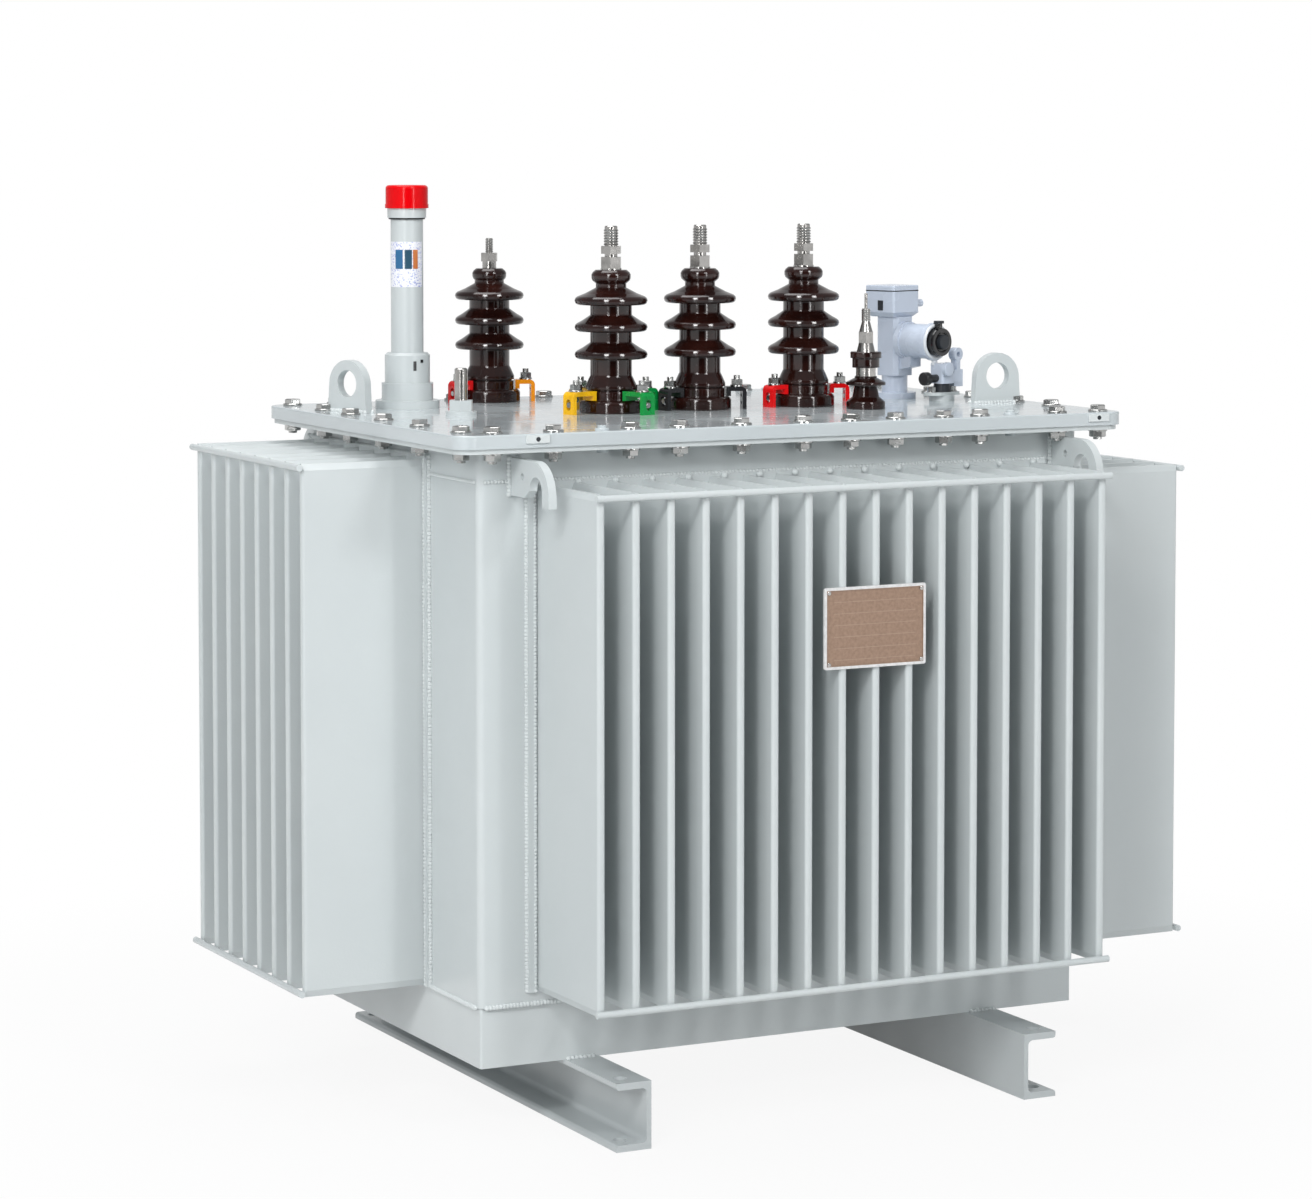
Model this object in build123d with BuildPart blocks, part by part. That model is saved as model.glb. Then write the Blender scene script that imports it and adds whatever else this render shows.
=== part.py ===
from build123d import *
from math import cos, radians, sin
import os

os.makedirs("parts", exist_ok=True)

# Power transformer, oil filled, with four corrugated cooling walls.
# Millimetres. X runs along the long side, +Y points to the back and +Z up.
# The origin is on the floor, under the middle of the tank.

# Tank: a welded box on a shallow bottom section
tank_length = 822.0
tank_width = 512.0
tank_wall_thick = 4.0
tank_corner_r = 8.0
base_height = 72.0
base_inset = 3.0
base_corner_r = 3.0
base_floor_thick = 8.0
tank_height = 652.0

# Skids: two channels across the short way, flanges turned outwards
skid_length = 780.0
skid_height = 80.0
skid_flange = 45.0
skid_web = 6.0
skid_flange_thick = 8.0
skid_inset = 157.4
skid_web_x = tank_length / 2 - skid_inset
skid_root_r = 6.0
skid_hole_r = 8.0
skid_hole_end = 25.0
skid_hole_from_web = 28.4

base_top = skid_height + base_height
tank_top = base_top + tank_height

# Rim flange and lid, bolted together round the edge
flange_overhang = 41.0
flange_thick = 6.0
lid_overhang = 44.0
lid_thick = 16.0
lid_corner_r = 22.0
lid_edge_r = 2.0
lid_top = tank_top + flange_thick + lid_thick

# Corrugated walls: a backing sheet with hollow folded fins, pinched shut at both ends
sheet_thick = 3.0
sheet_margin = 13.0
sheet_above_fins = 4.0
edge_bar_width = 9.0
edge_bar_thick = 2.0
fin_thick = 10.0
fin_pinched = 4.0
fin_pinch_length = 8.0
fin_edge_r = 4.0
long_fin_count = 16
long_fin_end = 73.5
long_fin_pitch = (tank_length - 2 * long_fin_end) / (long_fin_count - 1)
long_fin_depth = 163.0
long_fin_shift = 6.0
long_fin_bottom = 166.0
long_fin_drop = 40.0
long_fin_height = tank_top - long_fin_drop - long_fin_bottom
short_fin_count = 8
short_fin_end = 84.5
short_fin_pitch = (tank_width - 2 * short_fin_end) / (short_fin_count - 1)
short_fin_depth = 158.0
short_fin_shift = 71.0
short_fin_bottom = 151.6
left_fin_drop = 19.5
right_fin_drop = 52.5
left_fin_height = tank_top - left_fin_drop - short_fin_bottom
right_fin_height = tank_top - right_fin_drop - short_fin_bottom

# Tie rods along the fin tips, top and bottom
rod_r = 4.0
rod_overhang = 3.5
rod_from_fin_end = 4.5
seat_gap = 0.2

# Lifting hooks on the long walls, near the corners
hook_end = 40.0
hook_x = tank_length / 2 - hook_end
hook_thick = 10.0
hook_reach = 105.0
hook_drop = 8.0
hook_top = tank_top - hook_drop
hook_nose_r = 41.0
hook_root_height = 44.0
hook_tip_height = 52.0
hook_root_reach = 41.0
hook_slot_r = 17.0
hook_slot_below_top = 18.0
hook_tip_width = 18.0
hook_hole_r = 4.0
hook_hole_out = 34.0
hook_hole_below_top = 20.0

# Lifting eyes on the lid
eye_width = 68.0
eye_height = 64.5
eye_thick = 11.0
eye_top_r = 32.0
eye_hole_r = 17.0
eye_hole_height = 35.0
eye_left_end = 4.0
eye_left_place = (-tank_length / 2 + eye_left_end, 137.0)
eye_left_turn = -69.0
eye_right_end = 14.0
eye_right_place = (tank_length / 2 - eye_right_end, -86.0)
eye_right_turn = 0.0

# Oil level gauge: a tube on a stepped foot, with a screwed cap
gauge_from_end = 96.0
gauge_from_back = 86.0
gauge_place = (-tank_length / 2 + gauge_from_end, tank_width / 2 - gauge_from_back)
gauge_flange_r = 40.5
gauge_flange_thick = 10.0
gauge_foot_r = 32.5
gauge_foot_height = 22.0
gauge_socket_r = 28.5
gauge_socket_height = 38.0
gauge_tube_r = 20.5
gauge_tube_length = 170.0
gauge_collar_r = 24.5
gauge_collar_height = 12.0
gauge_cap_r = 26.8
gauge_lip_r = 27.5
gauge_lip_height = 5.0
gauge_cap_height = 29.0
gauge_cap_round = 4.5

# Thermometer pocket in its boss
pocket_from_end = 102.0
pocket_place = (-tank_length / 2 + pocket_from_end, 18.0)
boss_nut = 27.0
boss_foot_r = 19.0
boss_foot_height = 5.0
boss_height = 18.5
pocket_r = 8.0
pocket_height = 39.5

# Bushings: glazed porcelain with three sheds
phase_places = ((-122.0, -20.0), (5.0, -15.0), (151.0, -20.0))
neutral_x = -171.0
neutral_from_back = 20.0
neutral_place = (neutral_x, tank_width / 2 - neutral_from_back)
base_r = 39.6
base_flange_height = 16.0
base_round = 4.0
waist_r = 31.0
waist_height = 11.0
groove_r = 29.0
groove_height = 2.0
bell_r = 32.0
bell_rim = 4.0
barrel_r = 26.0
barrel_start = 46.0
shed_r = 45.5
shed_rim = 10.0
shed_rise = 20.0
cone_dip = 1.5
phase_sheds = (67.0, 101.0, 134.0)
neutral_sheds = (68.0, 100.0, 132.0)
neutral_shed_r = 44.5
top_shed_rise = 21.0
neck_r = 19.0
phase_neck_top = 162.0
neutral_neck_top = 157.0
phase_crown_r = 24.5
neutral_crown_r = 22.0
crown_height = 15.0
phase_top = phase_neck_top + crown_height
neutral_top = neutral_neck_top + crown_height

# Terminals on the bushings
washer_r = 13.0
washer_thick = 2.0
terminal_nut = 24.0
lower_nut_height = 14.0
upper_nut_height = 9.5
nut_gap = 4.0
nut_neck_r = 8.0
phase_stud_r = 8.0
phase_stud_top = 231.5
neutral_stud_r = 4.25
neutral_stud_top = 211.0
neutral_nut = 20.0
neutral_neck_r = 9.0
neutral_neck_height = 9.0
neutral_nut_height = 11.0

# Clamps that hold each bushing to the lid: the radius of the legs, and their turns in degrees
wide_clamp_reach = 70.0
close_clamp_reach = 58.0
wide_clamps = ((15, 105, 195, 285), wide_clamp_reach)
close_clamps = ((80, 190, 342), close_clamp_reach)
clamp_width = 20.0
clamp_leg_thick = 5.0
clamp_top = 28.0
clamp_arm_thick = 5.5
clamp_tip_r = 32.5
clamp_tip_length = 5.5
clamp_bend_r = 7.0
clamp_gap = 0.3
clamp_slot_width = 8.0
clamp_slot_length = 14.0
clamp_slot_height = 12.0

# Small bushing in front of the right phase
small_place = (193.0, -106.0)
small_foot_r = 24.5
small_foot_height = 15.0
small_body_r = 17.0
small_neck_r = 14.0
small_shed_r = 25.0
small_shed_height = 30.0
small_shed_thick = 7.0
small_body_top = 41.0
small_ring_r = 12.5
small_ring_height = 11.0
small_cap_r = 17.2
small_cap_lip_r = 19.6
small_cap_lip = 8.0
small_cap_height = 20.0
small_washer_r = 11.5
small_washer_top_r = 9.0
small_cone_height = 13.0
small_cone_r = 8.5
small_washer_height = 11.0
small_nut = 18.0
small_nut_height = 14.0
small_post_r = 5.0
small_post_height = 16.0
small_stud_r = 1.9
small_stud_height = 19.0

# Protection relay: cast column, terminal box and a round gauge facing the front
relay_from_end = 82.0
relay_place = (tank_length / 2 - relay_from_end, 54.0)
relay_turn = 18.0
relay_flange_r = 28.0
relay_flange_thick = 8.0
relay_stem_r = 17.0
relay_stem_height = 22.0
relay_column_width = 36.5
relay_column_chamfer = 5.0
relay_column_height = 77.0
relay_box_width = 50.0
relay_box_height = 34.0
relay_box_chamfer = 6.0
relay_box_edge_r = 3.0
relay_lid_width = 50.0
relay_lid_height = 7.0
relay_knob_r = 5.0
relay_knob_forward = 16.0
relay_box_shift = 2.5
relay_knob_length = 13.0
relay_barrel_r = 22.5
relay_barrel_height = 76.0
relay_barrel_reach = 70.0
relay_ring_r = 24.5
relay_ring_thick = 6.0
relay_collar_r = 24.5
relay_collar_thick = 8.0
relay_dial_r = 18.0
relay_dial_thick = 12.5
relay_dial_rim = 3.0
relay_dial_recess = 1.5
relay_knob_stem_r = 4.5
relay_knob_stem_height = 6.0
relay_lug_width = 20.0
relay_lug_reach = 36.5
relay_lug_side = 33.5
relay_lug_drop = 37.5

# Tap changer drive beside the relay
tap_from_end = 51.0
tap_place = (tank_length / 2 - tap_from_end, -14.0)
tap_boss_r = 16.5
tap_boss_height = 7.0
tap_plate_length = 56.0
tap_plate_width = 28.0
tap_plate_thick = 4.0
tap_hub_r = 11.5
tap_hub_top_r = 9.5
tap_hub_height = 11.0
tap_block_width = 22.0
tap_block_height = 26.0
tap_block_r = 3.0
tap_wing_start = 19.0
tap_wing_width = 17.0
tap_wing_rise = 5.0
tap_wing_height = 22.0
tap_neck_width = 7.0
tap_ring_r = 8.5
tap_ring_height = 37.0
tap_ring_hole_r = 3.5
tap_wing_thick = 10.0
tap_knob_r = 8.7
tap_knob_stem_r = 5.0
tap_knob_start = 28.0
tap_knob_length = 9.0
tap_knob_height = 29.0
tap_knob_edge_r = 2.0

# Rating plate, riveted across three front fins
plate_width = 137.0
plate_height = 96.0
plate_thick = 3.0
plate_frame = 4.0
plate_recess = 1.0
plate_corner_r = 3.0
plate_x = 24.5
plate_drop = 209.0
plate_z = tank_top - plate_drop


def channel(name, side):
    with BuildPart() as skid:
        with BuildSketch(Plane.XZ.offset(-skid_length / 2)):
            with BuildLine():
                Polyline(
                    (side * skid_web_x, 0),
                    (side * (skid_web_x + skid_flange), 0),
                    (side * (skid_web_x + skid_flange), skid_flange_thick),
                    (side * (skid_web_x + skid_web), skid_flange_thick),
                    (side * (skid_web_x + skid_web), skid_height - skid_flange_thick),
                    (side * (skid_web_x + skid_flange), skid_height - skid_flange_thick),
                    (side * (skid_web_x + skid_flange), skid_height),
                    (side * skid_web_x, skid_height),
                    close=True,
                )
            make_face()
        extrude(amount=skid_length)
        lips = skid.edges().filter_by(Axis.Y).group_by(Axis.X)[-1 if side > 0 else 0]
        fillet(lips.sort_by(Axis.Z)[1:3], radius=skid_flange_thick / 2)
        roots = skid.edges().filter_by(Axis.Y).filter_by(
            lambda edge: abs(abs(edge.center().X) - skid_web_x - skid_web) < 0.01
            and 0 < edge.center().Z < skid_height
        )
        fillet(roots, radius=skid_root_r)
        with BuildSketch(Plane.XY):
            with Locations((side * (skid_web_x + skid_hole_from_web), 0)):
                with GridLocations(0, skid_length - 2 * skid_hole_end, 1, 2):
                    Circle(skid_hole_r)
        extrude(amount=skid_height, mode=Mode.SUBTRACT)
    skid.part.label = name
    return skid.part


# Bottom section of the tank: a shallow pan with its own floor
with BuildPart() as base_box:
    with BuildSketch(Plane.XY.offset(skid_height)):
        RectangleRounded(tank_length - 2 * base_inset, tank_width - 2 * base_inset, base_corner_r)
    extrude(amount=base_height)
    with BuildSketch(Plane.XY.offset(skid_height + base_floor_thick)):
        Rectangle(
            tank_length - 2 * base_inset - 2 * tank_wall_thick,
            tank_width - 2 * base_inset - 2 * tank_wall_thick,
        )
    extrude(amount=base_height - base_floor_thick, mode=Mode.SUBTRACT)
base_box.part.label = "base_box"

with BuildPart() as tank_wall:
    with BuildSketch(Plane.XY.offset(base_top)):
        RectangleRounded(tank_length, tank_width, tank_corner_r)
        RectangleRounded(
            tank_length - 2 * tank_wall_thick,
            tank_width - 2 * tank_wall_thick,
            tank_corner_r - tank_wall_thick,
            mode=Mode.SUBTRACT,
        )
    extrude(amount=tank_height)
tank_wall.part.label = "tank_wall"

with BuildPart() as rim_flange:
    with BuildSketch(Plane.XY.offset(tank_top)):
        RectangleRounded(
            tank_length + 2 * flange_overhang,
            tank_width + 2 * flange_overhang,
            lid_corner_r,
        )
        RectangleRounded(
            tank_length - 2 * tank_wall_thick,
            tank_width - 2 * tank_wall_thick,
            tank_corner_r - tank_wall_thick,
            mode=Mode.SUBTRACT,
        )
    extrude(amount=flange_thick)
rim_flange.part.label = "rim_flange"

with BuildPart() as lid:
    with BuildSketch(Plane.XY.offset(tank_top + flange_thick)):
        RectangleRounded(tank_length + 2 * lid_overhang, tank_width + 2 * lid_overhang, lid_corner_r)
    extrude(amount=lid_thick)
    fillet(lid.faces().sort_by(Axis.Z)[-1].edges(), radius=lid_edge_r)
lid.part.label = "lid"


def corrugated_wall(name, face, count, pitch, depth, shift, bottom, height):
    """Backing sheet on a tank wall, with a row of folded fins.

    face is the plane of the tank wall, its x along the wall and its z outwards.
    """
    span = (count - 1) * pitch + fin_thick + 2 * sheet_margin
    with BuildSketch() as fin:
        with BuildLine():
            Polyline(
                (-fin_pinched / 2, 0),
                (fin_pinched / 2, 0),
                (fin_thick / 2, fin_pinch_length),
                (fin_thick / 2, height - fin_pinch_length),
                (fin_pinched / 2, height),
                (-fin_pinched / 2, height),
                (-fin_thick / 2, height - fin_pinch_length),
                (-fin_thick / 2, fin_pinch_length),
                close=True,
            )
        make_face()
    with BuildPart() as wall:
        with BuildSketch(face):
            with Locations((shift, bottom + (height + sheet_above_fins) / 2)):
                Rectangle(span, height + sheet_above_fins)
        extrude(amount=sheet_thick)
        with BuildSketch(face.offset(sheet_thick)):
            with Locations((shift, bottom + (height + sheet_above_fins) / 2)):
                with GridLocations(span - edge_bar_width, 0, 2, 1):
                    Rectangle(edge_bar_width, height + sheet_above_fins)
        extrude(amount=edge_bar_thick)
        with BuildSketch(face.offset(sheet_thick)):
            with Locations((shift, bottom)):
                with GridLocations(pitch, 0, count, 1):
                    add(fin.sketch)
        extrude(amount=depth - sheet_thick)
        tips = wall.edges().filter_by(Axis.Z).group_by(Axis((0, 0, 0), face.z_dir))[-1]
        fillet(tips, radius=fin_edge_r)
    wall.part.label = name
    return wall.part


def tie_rods(name, face, count, pitch, depth, shift, bottom, height):
    """Two round rods across the tips of one row of fins."""
    length = (count - 1) * pitch + fin_thick + 2 * rod_overhang
    across = Plane(face.origin - face.x_dir * (length / 2 - shift), z_dir=face.x_dir, x_dir=face.z_dir)
    with BuildPart() as rods:
        with BuildSketch(across):
            with Locations((depth + rod_r + seat_gap, 0)):
                for level in (bottom + rod_from_fin_end, bottom + height - rod_from_fin_end):
                    with Locations((0, -level if across.y_dir.Z < 0 else level)):
                        Circle(rod_r)
        extrude(amount=length)
    rods.part.label = name
    return rods.part


front_face = Plane((0, -tank_width / 2, 0), x_dir=(1, 0, 0), z_dir=(0, -1, 0))
back_face = Plane((0, tank_width / 2, 0), x_dir=(-1, 0, 0), z_dir=(0, 1, 0))
left_face = Plane((-tank_length / 2, 0, 0), x_dir=(0, -1, 0), z_dir=(-1, 0, 0))
right_face = Plane((tank_length / 2, 0, 0), x_dir=(0, 1, 0), z_dir=(1, 0, 0))
long_row = (long_fin_count, long_fin_pitch, long_fin_depth, long_fin_shift, long_fin_bottom, long_fin_height)
short_row = (short_fin_count, short_fin_pitch, short_fin_depth, -short_fin_shift, short_fin_bottom)

walls = []
for side, face, row in (
    ("front", front_face, long_row),
    ("back", back_face, long_row),
    ("left", left_face, (*short_row, left_fin_height)),
    ("right", right_face, (*short_row, right_fin_height)),
):
    walls.append(corrugated_wall("corrugated_wall_" + side, face, *row))
    walls.append(tie_rods("fin_rods_" + side, face, *row))


def hook_pair(name, facing):
    """Two plates with a down-turned tip, on the front (facing -1) or back wall."""
    root = tank_width / 2
    nose_centre = hook_reach - hook_nose_r
    tip_inside = hook_reach - hook_tip_width
    slot_centre = tip_inside - hook_slot_r
    slot_top = hook_top - hook_slot_below_top
    with BuildPart() as hooks:
        for place in (-facing * long_fin_shift - hook_x, -facing * long_fin_shift + hook_x):
            with BuildSketch(Plane.YZ.offset(place - hook_thick / 2)):
                with BuildLine():
                    top = Line((facing * root, hook_top), (facing * (root + nose_centre), hook_top))
                    nose = JernArc(top @ 1, (facing, 0), hook_nose_r, -facing * 90)
                    inside = Polyline(
                        nose @ 1,
                        (facing * (root + hook_reach), hook_top - hook_tip_height),
                        (facing * (root + tip_inside), hook_top - hook_tip_height),
                        (facing * (root + tip_inside), slot_top - hook_slot_r),
                    )
                    ThreePointArc(
                        inside @ 1,
                        (facing * (root + slot_centre), slot_top),
                        (facing * (root + slot_centre - hook_slot_r), slot_top - hook_slot_r),
                    )
                    Polyline(
                        (facing * (root + slot_centre - hook_slot_r), slot_top - hook_slot_r),
                        (facing * (root + hook_root_reach), hook_top - hook_root_height),
                        (facing * root, hook_top - hook_root_height),
                        (facing * root, hook_top),
                    )
                make_face()
                with Locations((facing * (root + hook_hole_out), hook_top - hook_hole_below_top)):
                    Circle(hook_hole_r, mode=Mode.SUBTRACT)
            extrude(amount=hook_thick)
    hooks.part.label = name
    return hooks.part


def lifting_eye(name, place, turn):
    """Upright plate with a rounded top and one round hole, welded to the lid."""
    plane = Plane((place[0], place[1], lid_top), x_dir=(cos(radians(turn)), sin(radians(turn)), 0),
                  z_dir=(sin(radians(turn)), -cos(radians(turn)), 0))
    with BuildPart() as eye:
        with BuildSketch(plane.offset(-eye_thick / 2)):
            with BuildLine():
                Polyline(
                    (-eye_top_r, eye_height - eye_top_r),
                    (-eye_width / 2, 0),
                    (eye_width / 2, 0),
                    (eye_top_r, eye_height - eye_top_r),
                )
                ThreePointArc(
                    (eye_top_r, eye_height - eye_top_r),
                    (0, eye_height),
                    (-eye_top_r, eye_height - eye_top_r),
                )
            make_face()
            with Locations((0, eye_hole_height)):
                Circle(eye_hole_r, mode=Mode.SUBTRACT)
        extrude(amount=eye_thick)
    eye.part.label = name
    return eye.part


# Oil level gauge
with BuildPart() as gauge_base:
    with BuildSketch(Plane.XY.offset(lid_top)):
        with Locations(gauge_place):
            Circle(gauge_flange_r)
    extrude(amount=gauge_flange_thick)
    with BuildSketch(Plane.XY.offset(lid_top + gauge_flange_thick)):
        with Locations(gauge_place):
            Circle(gauge_foot_r)
    extrude(amount=gauge_foot_height)
    with BuildSketch(Plane.XY.offset(lid_top + gauge_flange_thick + gauge_foot_height)):
        with Locations(gauge_place):
            Circle(gauge_socket_r)
    extrude(amount=gauge_socket_height)
    chamfer(gauge_base.faces().sort_by(Axis.Z)[-1].edges(), length=3)
gauge_base.part.label = "gauge_base"
gauge_tube_start = lid_top + gauge_flange_thick + gauge_foot_height + gauge_socket_height

with BuildPart() as gauge_tube:
    with BuildSketch(Plane.XY.offset(gauge_tube_start)):
        with Locations(gauge_place):
            Circle(gauge_tube_r)
    extrude(amount=gauge_tube_length)
    with BuildSketch(Plane.XY.offset(gauge_tube_start + gauge_tube_length)):
        with Locations(gauge_place):
            Circle(gauge_collar_r)
    extrude(amount=gauge_collar_height)
gauge_tube.part.label = "gauge_tube"

with BuildPart() as gauge_cap:
    with BuildSketch(Plane.XY.offset(gauge_tube_start + gauge_tube_length + gauge_collar_height)):
        with Locations(gauge_place):
            Circle(gauge_cap_r)
    extrude(amount=gauge_cap_height)
    fillet(gauge_cap.faces().sort_by(Axis.Z)[-1].edges(), radius=gauge_cap_round)
    with BuildSketch(Plane.XY.offset(gauge_tube_start + gauge_tube_length + gauge_collar_height)):
        with Locations(gauge_place):
            Circle(gauge_lip_r)
    extrude(amount=gauge_lip_height)
gauge_cap.part.label = "gauge_cap"

# Thermometer pocket
with BuildPart() as thermometer_boss:
    with BuildSketch(Plane.XY.offset(lid_top)):
        with Locations(pocket_place):
            Circle(boss_foot_r)
    extrude(amount=boss_foot_height)
    with BuildSketch(Plane.XY.offset(lid_top + boss_foot_height)):
        with Locations(pocket_place):
            RegularPolygon(boss_nut / 2, 6, major_radius=False)
    extrude(amount=boss_height - boss_foot_height)
thermometer_boss.part.label = "thermometer_boss"

with BuildPart() as thermometer_pocket:
    with BuildSketch(Plane.XY.offset(lid_top + boss_height)):
        with Locations(pocket_place):
            Circle(pocket_r)
    extrude(amount=pocket_height)
    chamfer(thermometer_pocket.faces().sort_by(Axis.Z)[-1].edges(), length=1.5)
thermometer_pocket.part.label = "thermometer_pocket"


def porcelain(name, place, sheds, rim_r, neck_top, crown_r):
    """Glazed insulator turned about its own axis, with three sheds and a crown."""
    axis_plane = Plane((place[0], place[1], lid_top), x_dir=(1, 0, 0), z_dir=(0, -1, 0))
    waist_top = base_flange_height + waist_height
    bell_bottom = waist_top + groove_height
    crown_top = neck_top + crown_height
    outline = [
        (0, 0),
        (base_r, 0),
        (base_r, base_flange_height - base_round),
        (base_r - base_round / 3, base_flange_height - base_round / 3),
        (base_r - base_round, base_flange_height),
        (waist_r, base_flange_height),
        (waist_r, waist_top),
        (groove_r, waist_top),
        (groove_r, bell_bottom),
        (bell_r, bell_bottom),
        (bell_r, bell_bottom + bell_rim),
        (barrel_r + 2, barrel_start - bell_rim),
        (barrel_r, barrel_start),
    ]
    for shed in sheds:
        last = shed == sheds[-1]
        cone_r = neck_r if last else barrel_r
        cone_top = shed + (top_shed_rise if last else shed_rise)
        outline += [
            (barrel_r, shed),
            (rim_r - shed_rim / 3, shed),
            (rim_r - shed_rim / 10, shed + shed_rim / 6),
            (rim_r, shed + shed_rim / 2),
            (rim_r - shed_rim / 10, shed + 4 * shed_rim / 5),
            (rim_r - shed_rim / 3, shed + shed_rim),
            ((cone_r + rim_r) / 2, (shed + shed_rim + cone_top) / 2 - cone_dip),
            (cone_r, cone_top),
        ]
    outline += [
        (neck_r, neck_top - 2),
        (crown_r - 3, neck_top),
        (crown_r - 1, neck_top + 2),
        (crown_r, neck_top + 5),
        (crown_r, crown_top - 6),
        (crown_r - 1.5, crown_top - 3),
        (crown_r - 5, crown_top),
        (0, crown_top),
    ]
    with BuildPart() as insulator:
        with BuildSketch(axis_plane):
            with BuildLine():
                Polyline(outline, close=True)
            make_face()
        revolve(axis=Axis((place[0], place[1], 0), (0, 0, 1)))
    insulator.part.label = name
    return insulator.part


phase_form = (phase_sheds, shed_r, phase_neck_top, phase_crown_r)
neutral_form = (neutral_sheds, neutral_shed_r, neutral_neck_top, neutral_crown_r)


def phase_terminal(name, place):
    """Threaded stud with a washer, a long lower nut and a lock nut."""
    foot = lid_top + phase_top
    upper = foot + washer_thick + lower_nut_height + nut_gap
    with BuildPart() as terminal:
        with BuildSketch(Plane.XY.offset(foot)):
            with Locations(place):
                Circle(washer_r)
        extrude(amount=washer_thick)
        with BuildSketch(Plane.XY.offset(foot + washer_thick)):
            with Locations(place):
                RegularPolygon(terminal_nut / 2, 6, major_radius=False)
        extrude(amount=lower_nut_height)
        with BuildSketch(Plane.XY.offset(foot + washer_thick + lower_nut_height)):
            with Locations(place):
                Circle(nut_neck_r)
        extrude(amount=nut_gap)
        with BuildSketch(Plane.XY.offset(upper)):
            with Locations(place):
                RegularPolygon(terminal_nut / 2, 6, major_radius=False)
        extrude(amount=upper_nut_height)
        with BuildSketch(Plane.XY.offset(upper + upper_nut_height)):
            with Locations(place):
                Circle(phase_stud_r)
        extrude(amount=lid_top + phase_stud_top - upper - upper_nut_height)
        chamfer(terminal.faces().sort_by(Axis.Z)[-1].edges(), length=1)
    terminal.part.label = name
    return terminal.part


with BuildPart() as neutral_terminal:
    neutral_foot = lid_top + neutral_top
    with BuildSketch(Plane.XY.offset(neutral_foot)):
        with Locations(neutral_place):
            Circle(neutral_neck_r)
    extrude(amount=neutral_neck_height)
    with BuildSketch(Plane.XY.offset(neutral_foot + neutral_neck_height)):
        with Locations(neutral_place):
            RegularPolygon(neutral_nut / 2, 6, major_radius=False)
    extrude(amount=neutral_nut_height)
    with BuildSketch(Plane.XY.offset(neutral_foot + neutral_neck_height + neutral_nut_height)):
        with Locations(neutral_place):
            Circle(neutral_stud_r)
    extrude(amount=neutral_stud_top - neutral_top - neutral_neck_height - neutral_nut_height)
neutral_terminal.part.label = "neutral_terminal"


def clamp_ring(name, place, turns, clamp_reach):
    """Bent clamps round one bushing, each with its tip on the porcelain's foot."""
    tip_bottom = base_flange_height + clamp_gap
    arm_bottom = clamp_top - clamp_arm_thick
    leg_start = clamp_reach - clamp_leg_thick
    with BuildPart() as clamps:
        for degrees in turns:
            turn = radians(degrees)
            radial = Vector(cos(turn), sin(turn), 0)
            centre = Vector(place[0], place[1], lid_top)
            side = Plane(centre, x_dir=radial, z_dir=(sin(turn), -cos(turn), 0))
            with BuildSketch(side.offset(-clamp_width / 2)):
                with BuildLine():
                    FilletPolyline(
                        (clamp_reach, 0),
                        (clamp_reach, clamp_top),
                        (clamp_tip_r, clamp_top),
                        radius=clamp_bend_r,
                    )
                    Polyline(
                        (clamp_tip_r, clamp_top),
                        (clamp_tip_r, tip_bottom),
                        (clamp_tip_r + clamp_tip_length, tip_bottom),
                        (clamp_tip_r + clamp_tip_length, arm_bottom),
                        (leg_start, arm_bottom),
                        (leg_start, 0),
                        (clamp_reach, 0),
                    )
                make_face()
            extrude(amount=clamp_width)
            outside = Plane(centre + Vector(0, 0, clamp_slot_height), x_dir=(0, 0, 1), z_dir=radial)
            with BuildSketch(outside.offset(leg_start)):
                SlotOverall(clamp_slot_length, clamp_slot_width)
            extrude(amount=clamp_leg_thick, mode=Mode.SUBTRACT)
    clamps.part.label = name
    return clamps.part


# Small bushing: lower insulator and upper cap of porcelain, with a metal ring between
with BuildPart() as small_bushing:
    small_plane = Plane((small_place[0], small_place[1], lid_top), x_dir=(1, 0, 0), z_dir=(0, -1, 0))
    cap_start = small_body_top + small_ring_height
    with BuildSketch(small_plane):
        with BuildLine():
            Polyline(
                (0, 0),
                (small_foot_r, 0),
                (small_foot_r, small_foot_height - 6),
                (small_body_r, small_foot_height),
                (small_neck_r, small_shed_height),
                (small_shed_r, small_shed_height),
                (small_shed_r, small_shed_height + small_shed_thick / 2),
                (small_neck_r, small_shed_height + small_shed_thick + 2),
                (small_neck_r, small_body_top),
                (0, small_body_top),
                close=True,
            )
        make_face()
        with BuildLine():
            Polyline(
                (0, cap_start),
                (small_cap_r, cap_start),
                (small_cap_r, cap_start + small_cap_height - small_cap_lip),
                (small_cap_lip_r, cap_start + small_cap_height - small_cap_lip),
                (small_cap_lip_r, cap_start + small_cap_height - 1),
                (small_cap_lip_r - 1, cap_start + small_cap_height),
                (0, cap_start + small_cap_height),
                close=True,
            )
        make_face()
    revolve(axis=Axis((small_place[0], small_place[1], 0), (0, 0, 1)))
small_bushing.part.label = "small_bushing"

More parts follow.
